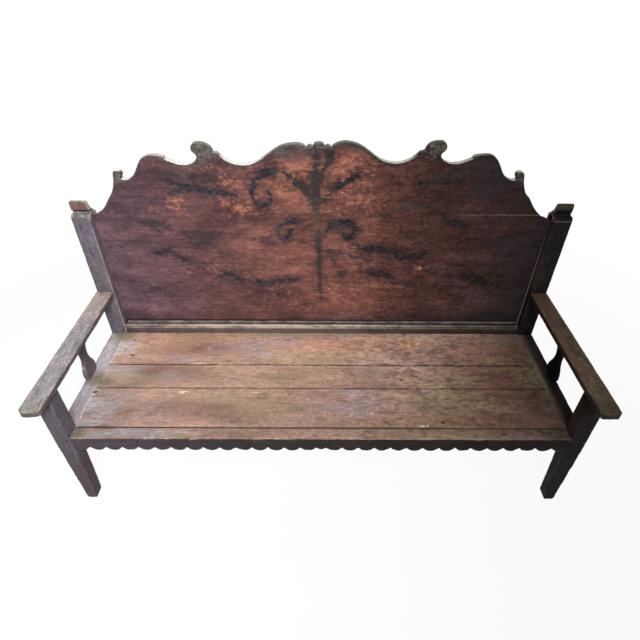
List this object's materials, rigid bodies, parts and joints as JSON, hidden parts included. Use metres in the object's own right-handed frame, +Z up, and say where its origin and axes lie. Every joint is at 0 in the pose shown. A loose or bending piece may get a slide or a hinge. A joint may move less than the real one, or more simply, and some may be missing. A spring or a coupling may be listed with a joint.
{
  "type": "high-back bench",
  "caption": "Long wooden settle with a scroll-topped panelled back, plank seat, flat arms on sawn balusters and a scalloped front rail.",
  "frame": {"origin": "centre of the footprint at floor level", "axes": "+X to the right as seen from the front, along the bench; +Y from the front to the back; +Z up"},
  "size_m": [1.93, 0.744, 1.254],
  "materials": {
    "frame_wood": "old dark brown paint, worn at the edges",
    "arm_wood": "handled wood, paint worn to grey brown",
    "seat_wood": "paint worn thin, tan wood showing",
    "panel_wood": "red brown paint with darker brushed ornament",
    "bare_wood": "unpainted aged wood",
    "nail_iron": "forged, rusted dark"
  },
  "bodies": {
    "root": {"front_leg_left": "frame_wood", "front_leg_right": "frame_wood", "rear_post_left": "frame_wood", "rear_post_right": "frame_wood", "armrest_left": "arm_wood", "armrest_right": "arm_wood", "arm_baluster_left": "frame_wood", "arm_baluster_right": "frame_wood", "side_seat_rail_left": "frame_wood", "side_seat_rail_right": "frame_wood", "seat_ledger_left": "bare_wood", "seat_ledger_right": "bare_wood", "front_seat_rail": "frame_wood", "rear_seat_rail": "frame_wood", "seat_board_front": "seat_wood", "seat_board_middle": "seat_wood", "seat_board_rear": "seat_wood", "seat_bearer_left": "bare_wood", "seat_bearer_centre": "bare_wood", "seat_bearer_right": "bare_wood", "back_bottom_rail": "frame_wood", "panel_bead_moulding": "frame_wood", "back_panel": "panel_wood", "crest_board": "panel_wood", "crest_dowels": "bare_wood", "tenon_pegs": "bare_wood", "seat_nails": "nail_iron"}
  },
  "joints": []
}
